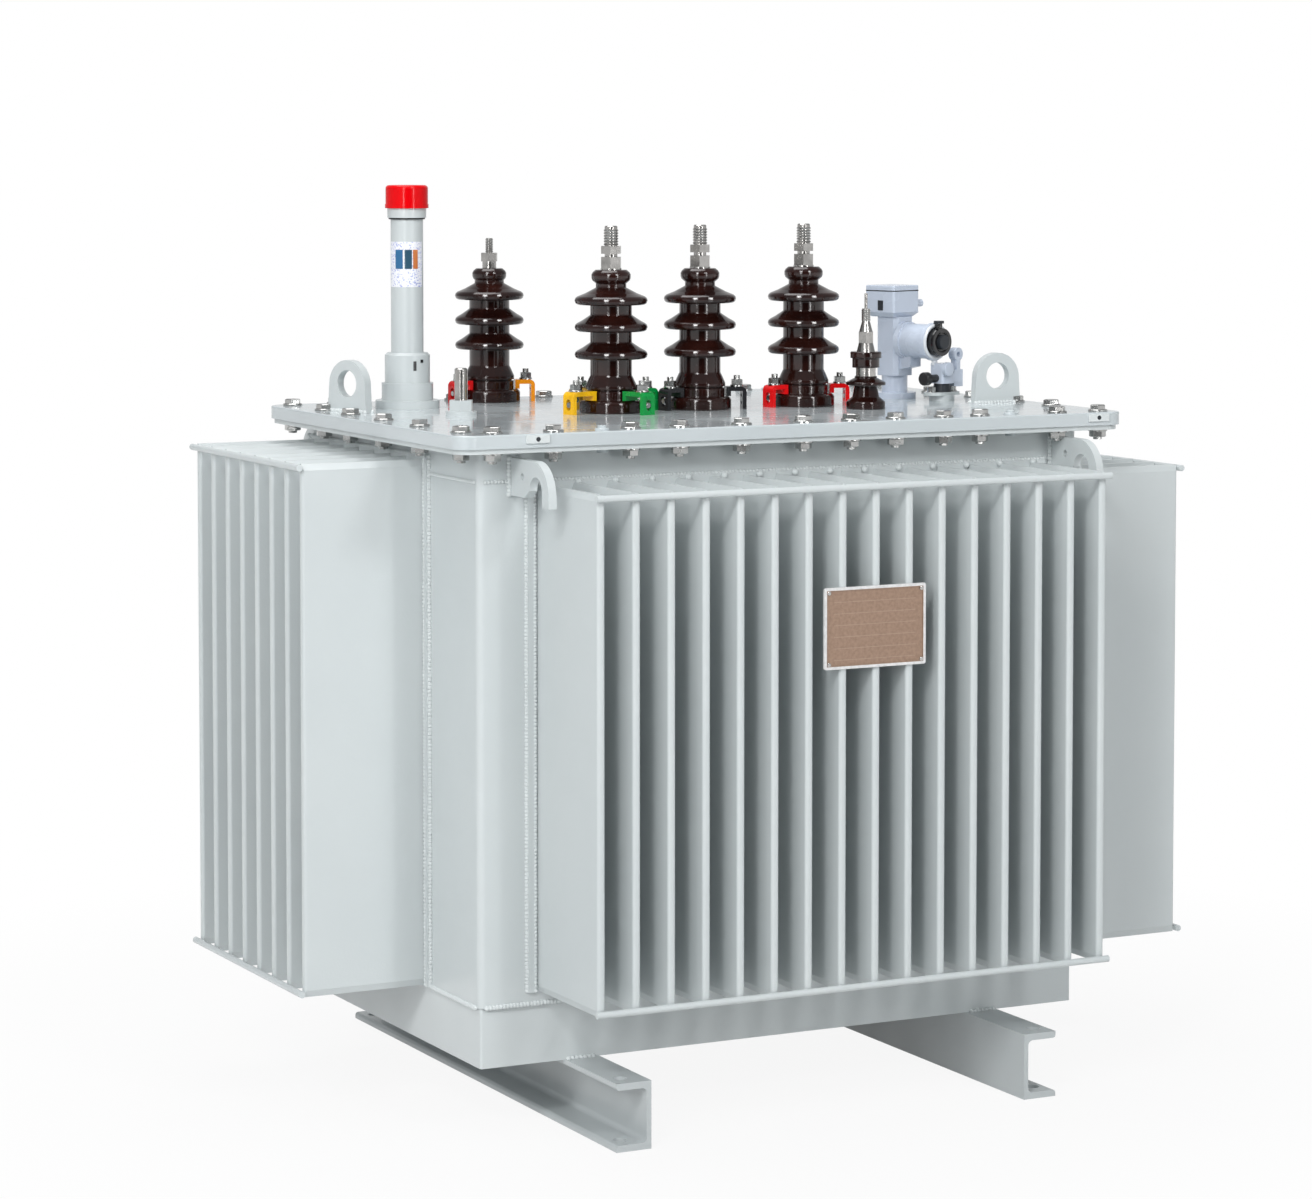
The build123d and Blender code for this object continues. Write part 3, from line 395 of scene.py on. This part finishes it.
def settle(piece, name, paint):
    start_piece()
    piece.select_set(True)
    bpy.context.view_layer.objects.active = piece
    bpy.ops.object.transform_apply(location=True, rotation=True, scale=True)
    piece.name = name
    piece.data.name = name
    piece.data.materials.clear()
    piece.data.materials.append(paint)
    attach(piece, "root")
    return piece


def weld_together(parts):
    start_piece()
    for part in parts:
        part.select_set(True)
    bpy.context.view_layer.objects.active = parts[0]
    if len(parts) > 1:
        bpy.ops.object.join()
    return bpy.context.object


def hexagon(across, height, place, up=1, turn=0.0):
    start_piece()
    bpy.ops.mesh.primitive_cylinder_add(
        vertices=6,
        radius=across / sqrt(3),
        depth=height,
        location=(place[0], place[1], place[2] + up * height / 2),
        rotation=(0, 0, turn),
    )
    pick_faces(lambda face: face.normal.z * up > 0.9)
    bpy.ops.mesh.inset(thickness=across * 0.07, depth=across * 0.045)
    bpy.ops.mesh.inset(thickness=across * 0.12, depth=0)
    bpy.ops.object.mode_set(mode="OBJECT")
    return bpy.context.object


def disc(radius, height, place, up=1, sides=24):
    start_piece()
    bpy.ops.mesh.primitive_cylinder_add(
        vertices=sides,
        radius=radius,
        depth=height,
        location=(place[0], place[1], place[2] + up * height / 2),
    )
    pick_faces(lambda face: face.normal.z * up > 0.9)
    bpy.ops.mesh.inset(thickness=radius * 0.08, depth=radius * 0.06)
    bpy.ops.object.mode_set(mode="OBJECT")
    return bpy.context.object


zinc = plated("bolt_zinc", (0.54, 0.54, 0.53, 1), (0.40, 0.40, 0.39, 1))
lid_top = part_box("lid")[1][2]
flange_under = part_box("rim_flange")[0][2]
front_row = [-0.402, -0.324, -0.261, -0.224, -0.159, -0.076, 0.008]
front_row += [0.074, 0.136, 0.204, 0.256, 0.300, 0.368, 0.428]
side_row = (-0.247, -0.128, -0.019, 0.085, 0.170)
row_x = 0.428
row_y = 0.277
small_screws = [(x * side, -row_y * side) for x in (front_row[2], front_row[11]) for side in (1, -1)]
washer_r = 0.0122
head_washer = 0.0018
nut_washer = 0.0022
bolt_across = 0.018
head_height = 0.0056
nut_height = 0.0070
thread_end = 0.0035
painted = []
for row, places in (
    ("front", [(x, -row_y) for x in front_row]),
    ("back", [(-x, row_y) for x in front_row]),
    ("left", [(-row_x, y) for y in side_row]),
    ("right", [(row_x, -y) for y in side_row]),
):
    heads = []
    nuts = []
    for number, (x, y) in enumerate(places):
        if (x, y) in small_screws:
            painted.append(disc(0.0085, 0.0020, (x, y, lid_top)))
            painted.append(disc(0.0052, 0.0032, (x, y, lid_top + 0.0020), 1, 18))
            painted.append(disc(0.0064, 0.0042, (x, y, flange_under), -1, 18))
            continue
        turn = 0.35 + 1.3 * number
        heads.append(disc(washer_r, head_washer, (x, y, lid_top)))
        heads.append(hexagon(bolt_across, head_height, (x, y, lid_top + head_washer), 1, turn))
        nuts.append(disc(washer_r, nut_washer, (x, y, flange_under), -1))
        nuts.append(hexagon(bolt_across, nut_height, (x, y, flange_under - nut_washer), -1, turn + 0.5))
        nuts.append(disc(0.0055, thread_end, (x, y, flange_under - nut_washer - nut_height), -1, 14))
    settle(weld_together(heads), "lid_bolts_" + row, zinc)
    settle(weld_together(nuts), "lid_nuts_" + row, zinc)
settle(weld_together(painted), "painted_screws", lid_enamel)


# Clamp fittings. A zinc plated stud stands on the arm of each clamp with a washer and a nut, and
# the round head of a spacer shows in the slot of its leg.
def spindle(radius, length, middle, direction, sides=24):
    start_piece()
    bpy.ops.mesh.primitive_cylinder_add(
        vertices=sides,
        radius=radius,
        depth=length,
        location=middle,
        rotation=Vector(direction).to_track_quat("Z", "Y").to_euler(),
    )
    pick_faces(lambda face: abs(face.normal.z) > 0.9)
    bpy.ops.mesh.inset(thickness=radius * 0.14, depth=radius * 0.06)
    bpy.ops.object.mode_set(mode="OBJECT")
    return bpy.context.object


for number, centre, turns, leg_out, stud_out in (
    ("1", phase_places[0], wide_turns, 0.070, 0.0575),
    ("2", phase_places[1], close_turns, 0.058, 0.047),
    ("3", phase_places[2], close_turns, 0.058, 0.047),
    ("neutral", neutral_place, close_turns, 0.058, 0.047),
):
    fittings = []
    for turn_degrees in turns:
        turn = radians(turn_degrees)
        out = Vector((cos(turn), sin(turn), 0))
        axis = Vector((*centre, lid_top))
        top = axis + out * stud_out + Vector((0, 0, 0.0281))
        slot_middle = axis + out * (leg_out - 0.0026) + Vector((0, 0, 0.012))
        fittings.append(disc(0.0084, 0.0016, top))
        fittings.append(hexagon(0.0134, 0.0066, top + Vector((0, 0, 0.0017)), 1, turn))
        fittings.append(disc(0.0040, 0.0050, top + Vector((0, 0, 0.0086)), 1, 16))
        fittings.append(spindle(0.0034, 0.0050, slot_middle, out, 18))
    settle(weld_together(fittings), "clamp_fittings_" + number, zinc)


# Stud threads. Rolled threads stand out as fine ridges round the free end of every terminal.
# Each is cut to the pitch of its stud and plated with it.
def ring(radius, thickness, sides, rounds, place, turn=(0, 0, 0)):
    start_piece()
    bpy.ops.mesh.primitive_torus_add(
        major_segments=sides,
        minor_segments=rounds,
        major_radius=radius,
        minor_radius=thickness,
        location=place,
        rotation=turn,
    )
    return bpy.context.object


def repeated(piece, step, count):
    row = piece.modifiers.new("row", "ARRAY")
    row.use_relative_offset = False
    row.use_constant_offset = True
    row.constant_offset_displace = step
    row.count = count
    bpy.ops.object.modifier_apply(modifier="row")
    return piece


def thread(radius, low, high, pitch, centre):
    ridge = ring(radius, pitch * 0.38, 28, 6, (centre[0], centre[1], low + pitch / 2))
    return repeated(ridge, (0, 0, pitch), int((high - low) / pitch))


small_place = (0.193, -0.106)
ridges = [thread(0.0080, 1.0330, 1.0565, 0.0034, place) for place in phase_places]
ridges.append(thread(0.0043, 1.0186, 1.0362, 0.0022, neutral_place))
ridges.append(thread(0.0050, 0.9365, 0.9515, 0.0024, small_place))
settle(weld_together(ridges), "stud_threads", nickel)


# Oil gauge. A paper label with fine blue specks is wrapped on the front of the tube round three
# tinted sight glasses. The sleeve below has a small screw and a slot drawn in painted shade, and a
# dark ring of painted shadow lies under the cap.
def curved_patch(centre, radius, low, high, first, last, thick):
    front = -113.4

    def apart(face):
        turn = (degrees(atan2(face.center.y, face.center.x)) - front + 180) % 360 - 180
        return not first <= turn <= last

    start_piece()
    bpy.ops.mesh.primitive_cylinder_add(
        vertices=180,
        radius=radius,
        depth=high - low,
        end_fill_type="NOTHING",
        location=(centre[0], centre[1], (low + high) / 2),
    )
    pick_faces(apart)
    bpy.ops.mesh.delete(type="FACE")
    bpy.ops.object.mode_set(mode="OBJECT")
    patch = bpy.context.object
    skin = patch.modifiers.new("skin", "SOLIDIFY")
    skin.thickness = thick
    skin.offset = 1.0
    bpy.ops.object.modifier_apply(modifier="skin")
    return patch


gauge_place = (-0.315, 0.170)
tube_r = 0.0205
sleeve_r = 0.0285
ink_specks = (520.0, 2.0, 0.54, 0.62, 0.75)
label_paper = enamel("label_paper", (0.84, 0.85, 0.90, 1), (0.22, 0.27, 0.62, 1), 0.3, 0.1, patch=ink_specks)
label = curved_patch(gauge_place, tube_r + 0.0001, 0.979, 1.036, -72, 64, 0.0003)
settle(label, "gauge_label", label_paper)
for name, first, last, tint, shade in (
    ("blue", -43, -14, (0.03, 0.17, 0.36, 1), (0.012, 0.06, 0.15, 1)),
    ("slate", -9, 18, (0.025, 0.07, 0.12, 1), (0.05, 0.12, 0.17, 1)),
    ("orange", 22, 39, (0.62, 0.19, 0.04, 1), (0.42, 0.12, 0.03, 1)),
):
    glass = enamel("gauge_glass_" + name, tint, shade, 0.08, 0.05)
    pane = curved_patch(gauge_place, tube_r + 0.0004, 1.002, 1.026, first, last, 0.0004)
    settle(pane, "gauge_glass_" + name, glass)
# The first patch is painted shade in the slot, the second a small screw, the third a ring of painted shadow
# under the cap.
sleeve_marks_and_shade = weld_together([
    curved_patch(gauge_place, sleeve_r, 0.874, 0.886, 15, 23, 0.0004),
    curved_patch(gauge_place, sleeve_r, 0.884, 0.888, 36, 44, 0.0006),
    curved_patch(gauge_place, tube_r, 1.0640, 1.0658, -180, 180, 0.0025),
])
settle(sleeve_marks_and_shade, "gauge_sleeve_marks", knob_black_and_shade)


# Relay fittings. A dark gasket shows under the lid of the terminal box, and a cable slot in its side
# is drawn as a dark patch of painted shade. The gauge has a glossy black ring inside a pale cast
# rim, a raised button, a filler cap and a small lug.
def block(size, middle, turn=0.0, corner=0.0):
    start_piece()
    bpy.ops.mesh.primitive_cube_add(size=1.0, location=middle, rotation=(0, 0, turn))
    piece = bpy.context.object
    piece.scale = size
    bpy.ops.object.transform_apply(location=False, rotation=False, scale=True)
    if corner:
        bpy.ops.object.mode_set(mode="EDIT")
        bpy.ops.mesh.select_mode(type="EDGE")
        bpy.ops.mesh.select_all(action="DESELECT")
        bpy.ops.object.mode_set(mode="OBJECT")
        for line in piece.data.edges:
            first, last = (piece.data.vertices[end].co for end in line.vertices)
            line.select = abs(first.z - last.z) > size[2] / 2
        bpy.ops.object.mode_set(mode="EDIT")
        bpy.ops.mesh.bevel(offset=corner, segments=4)
    else:
        bpy.ops.object.mode_set(mode="EDIT")
        bpy.ops.mesh.select_all(action="SELECT")
        bpy.ops.mesh.bevel(offset=0.0003, segments=2)
    bpy.ops.object.mode_set(mode="OBJECT")
    return piece


relay_turn = radians(18)
across = Vector((cos(relay_turn), sin(relay_turn), 0))
ahead = Vector((sin(relay_turn), -cos(relay_turn), 0))
upward = Vector((0, 0, 1))
relay_foot = Vector((0.329, 0.054, lid_top))
box_middle = relay_foot - (ahead + across) * 0.0025
cable_slot = box_middle - across * 0.0252 + upward * 0.122 + ahead * 0.002
barrel = relay_foot + upward * 0.076
barrel_turn = ahead.to_track_quat("Z", "Y").to_euler()
rubber_and_shade = enamel("black_rubber", (0.014, 0.017, 0.022, 1), (0.026, 0.03, 0.036, 1), 0.42, shine=0.3)
dark_parts = weld_together([
    block((0.0505, 0.0505, 0.0013), box_middle + upward * 0.1410, relay_turn, corner=0.003),
    # The thin dark block on the side is a cable slot drawn in painted shade.
    block((0.0012, 0.0088, 0.0130), cable_slot, relay_turn),
    spindle(0.0097, 0.0055, barrel + ahead * 0.0838, ahead, 40),
    disc(0.0068, 0.0030, barrel + ahead * 0.07625 + upward * 0.0241, 1, 28),
])
settle(dark_parts, "relay_dark_parts", rubber_and_shade)
dial_rim = ring(0.0146, 0.0038, 56, 14, barrel + ahead * 0.0788, barrel_turn)
settle(dial_rim, "relay_dial_rim", dial_black)
pale_parts = weld_together([
    ring(0.0215, 0.0024, 56, 10, barrel + ahead * 0.0708, barrel_turn),
    block((0.0075, 0.0040, 0.0070), barrel + ahead * 0.0690 - upward * 0.0270, relay_turn),
])
pale_enamel = enamel("pale_enamel", (0.72, 0.75, 0.78, 1), (0.66, 0.69, 0.73, 1), 0.22, 0.1)
settle(pale_parts, "relay_pale_parts", pale_enamel)


# Tap changer fittings. A rubber boot seals the drive shaft, a round cover closes the front of
# the body, and two zinc plated bolts hold the ears of the foot.
tap_foot = Vector((0.360, -0.014, lid_top))
start_piece()
bpy.ops.mesh.primitive_cone_add(
    vertices=36,
    radius1=0.0120,
    radius2=0.0100,
    depth=0.0106,
    location=tap_foot + upward * 0.0164,
)
pick_faces(lambda face: abs(face.normal.z) < 0.5)
bpy.ops.mesh.inset(thickness=0.0003, depth=0.0002)
bpy.ops.object.mode_set(mode="OBJECT")
settle(bpy.context.object, "tap_changer_boot", rubber_and_shade)
cover = spindle(0.0090, 0.0060, tap_foot + ahead * 0.0135 - across * 0.004 + upward * 0.041, ahead, 36)
settle(cover, "tap_changer_cover", relay_enamel)
ear_bolts = []
for side in (-1, 1):
    ear = tap_foot + across * 0.0205 * side + upward * 0.0111
    ear_bolts.append(disc(0.0062, 0.0012, ear))
    ear_bolts.append(hexagon(0.0098, 0.0052, ear + upward * 0.0013, 1, 0.3 * side))
settle(weld_together(ear_bolts), "tap_changer_bolts", zinc)


# Weld beads. Hand laid runs round the foot of the tank, down the edges of the cooling walls and
# along the hooks, eyes and skids, rippled where each drop froze, with one thick drop at the root
# of each fin. All are painted over with the tank in a lighter copy of its enamel, a painted highlight.
def bead(start, end, radius, ripple):
    run = Vector(end) - Vector(start)
    drops = max(2, int(run.length / ripple))
    start_piece()
    bpy.ops.mesh.primitive_uv_sphere_add(segments=10, ring_count=6, radius=radius, location=start)
    return repeated(bpy.context.object, run / drops, drops + 1)


# A lighter copy of the tank enamel, whose extra lightness is a painted highlight on the beads and pads.
weld_highlight_enamel = enamel("weld_highlight_enamel", (0.66, 0.70, 0.705, 1), (0.58, 0.62, 0.625, 1), 0.18, 0.3)
tank_low, tank_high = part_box("tank_wall")
base_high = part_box("base_box")[1]
tight = 0.0044
loose = 0.0046
corners = [
    Vector((tank_low[0], tank_low[1], tank_low[2])),
    Vector((tank_high[0], tank_low[1], tank_low[2])),
    Vector((tank_high[0], tank_high[1], tank_low[2])),
    Vector((tank_low[0], tank_high[1], tank_low[2])),
]
runs = []
for number, start in enumerate(corners):
    end = corners[(number + 1) % len(corners)]
    trim = (end - start).normalized() * 0.010
    runs.append(bead(start + trim, end - trim, 0.0032, tight))
settle(weld_together(runs), "weld_tank_foot", weld_highlight_enamel)

for side, along in (("front", 0), ("back", 0), ("left", 1), ("right", 1)):
    low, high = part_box("corrugated_wall_" + side)
    runs = []
    facing_low = side in ("front", "left")
    face = tank_low[1 - along] if facing_low else tank_high[1 - along]
    outward = -1 if facing_low else 1
    strip = 0.0095
    cross_level = 0.768
    for edge, inward in ((low[along], 1), (high[along], -1)):
        for step, off, top in ((0.0, 0.0010, high[2]), (strip, 0.0032, high[2] - 0.004)):
            spot = edge + inward * step
            out = face + outward * off
            x, y = (spot, out) if along == 0 else (out, spot)
            runs.append(bead((x, y, low[2] + 0.002), (x, y, top), 0.0029, loose))
        corner = tank_low[along] if inward > 0 else tank_high[along]
        out = face + outward * 0.0003
        first = corner + inward * 0.009
        ends = [(first, out), (edge - inward * 0.003, out)]
        if abs(ends[1][0] - ends[0][0]) > 0.01 and (edge - first) * inward > 0:
            ends = ends if along == 0 else [(b, a) for a, b in ends]
            runs.append(bead((*ends[0], cross_level), (*ends[1], cross_level), 0.0024, tight))
    out = face + outward * 0.0012
    if along == 0:
        runs.append(bead((low[0], out, high[2]), (high[0], out, high[2]), 0.0027, loose))
    else:
        runs.append(bead((out, low[1], high[2]), (out, high[1], high[2]), 0.0027, loose))
    settle(weld_together(runs), "weld_wall_" + side, weld_highlight_enamel)

runs = []
for facing, places in ((-1, (-0.365, 0.377)), (1, (-0.377, 0.365))):
    wall = facing * (tank_high[1] + 0.0008)
    for x in places:
        for spot in (x - 0.0062, x + 0.0062):
            runs.append(bead((spot, wall, 0.753), (spot, wall, 0.795), 0.0034, loose))
settle(weld_together(runs), "weld_hooks", weld_highlight_enamel)

runs = []
for x, y, turn_degrees in ((-0.407, 0.137, -69), (0.397, -0.086, 0)):
    along_eye = Vector((cos(radians(turn_degrees)), sin(radians(turn_degrees)), 0))
    across_eye = Vector((-along_eye.y, along_eye.x, 0))
    for side in (-1, 1):
        middle = Vector((x, y, lid_top + 0.0004)) + across_eye * 0.0062 * side
        runs.append(bead(middle - along_eye * 0.033, middle + along_eye * 0.033, 0.0033, loose))
settle(weld_together(runs), "weld_eyes", weld_highlight_enamel)

skid_top = 0.0806
runs = []
for side in (-1, 1):
    for facing in (-1, 1):
        y = facing * (base_high[1] + 0.0006)
        runs.append(bead((side * 0.262, y, skid_top), (side * 0.294, y, skid_top), 0.0032, loose))
settle(weld_together(runs), "weld_skids", weld_highlight_enamel)

fin_roots = 0.7645
for facing, name in ((-1, "front"), (1, "back")):
    wall = facing * (tank_high[1] + 0.0042)
    shift = 0.006 * -facing
    drops = bead((-0.3375 + shift, wall, fin_roots), (0.3375 + shift, wall, fin_roots), 0.0042, 0.045)
    settle(drops, "fin_root_drops_" + name, weld_highlight_enamel)


# Rating plate. A thin bronze coloured sheet with a bright border, etched with fine level lines
# and held by four small rivets.
def inside(tree, value, middle, half):
    off_middle = reckoned(tree, "ABSOLUTE", reckoned(tree, "SUBTRACT", value, middle), 0.0)
    return ranged(tree, off_middle, half - 0.0002, half + 0.0002, 1.0, 0.0)


plate_low, plate_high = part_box("nameplate")
plate_x = (plate_low[0] + plate_high[0]) / 2
plate_z = (plate_low[2] + plate_high[2]) / 2
line_gap = 0.0068
line_half = 0.0004
plate_paint = bpy.data.materials.new("plate_etched")
plate_paint.use_nodes = True
plate_tree = plate_paint.node_tree
plate_shader = plate_tree.nodes["Principled BSDF"]
plate_spot = plate_tree.nodes.new("ShaderNodeTexCoord")
plate_split = plate_tree.nodes.new("ShaderNodeSeparateXYZ")
plate_tree.links.new(plate_spot.outputs["Object"], plate_split.inputs["Vector"])
across_plate = plate_split.outputs["X"]
up_plate = plate_split.outputs["Z"]
field = reckoned(
    plate_tree,
    "MULTIPLY",
    inside(plate_tree, across_plate, plate_x, 0.0652),
    inside(plate_tree, up_plate, plate_z, 0.0447),
)
rule = reckoned(plate_tree, "LESS_THAN", reckoned(plate_tree, "PINGPONG", up_plate, line_gap), line_half)
rule = reckoned(plate_tree, "MULTIPLY", rule, inside(plate_tree, across_plate, plate_x, 0.055))
ruled = reckoned(plate_tree, "MULTIPLY", rule, 0.35)
grain = ranged(plate_tree, cloud(plate_tree, 240.0, 4.0), 0.35, 0.7, 0.0, 1.0)
bronze = mixed(plate_tree, (0.31, 0.205, 0.145, 1), (0.25, 0.16, 0.11, 1), grain)
marked = mixed(plate_tree, bronze, (0.46, 0.35, 0.28, 1), ruled)
border = mixed(plate_tree, (0.7, 0.7, 0.7, 1), (0.58, 0.58, 0.58, 1), grain)
plate_tree.links.new(mixed(plate_tree, border, marked, field), plate_shader.inputs["Base Color"])
plate_rough = ranged(plate_tree, cloud(plate_tree, 180.0), 0.3, 0.7, 0.32, 0.5)
plate_tree.links.new(plate_rough, plate_shader.inputs["Roughness"])
plate_grain = relief(plate_tree, cloud(plate_tree, 900.0, 2.0), 0.15, 0.0002)
plate_tree.links.new(plate_grain, plate_shader.inputs["Normal"])
dress("nameplate", plate_paint)
rivets = []
for x in (plate_x - 0.0625, plate_x + 0.0625):
    for z in (plate_z - 0.042, plate_z + 0.042):
        rivets.append(spindle(0.0024, 0.0016, (x, plate_low[1] + 0.0002, z), (0, -1, 0), 18))
settle(weld_together(rivets), "plate_rivets", nickel)


# Earthing pads. Small plates are welded on the edge of the lid and painted over in the lighter weld
# enamel, a painted highlight, each with one tapped hole drawn as a dark disc of painted shade.
lid_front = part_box("lid")[0][1]
pad_row = (-0.355, 0.414)
pad_z = lid_top - 0.0062
pads = [block((0.030, 0.0024, 0.0095), (x, lid_front - 0.0010, pad_z)) for x in pad_row]
settle(weld_together(pads), "earthing_pads", weld_highlight_enamel)
# Each tapped hole is a dark disc of painted shade.
holes = [spindle(0.0027, 0.0008, (x, lid_front - 0.0022, pad_z), (0, -1, 0), 20) for x in pad_row]
settle(weld_together(holes), "earthing_hole_shade", rubber_and_shade)
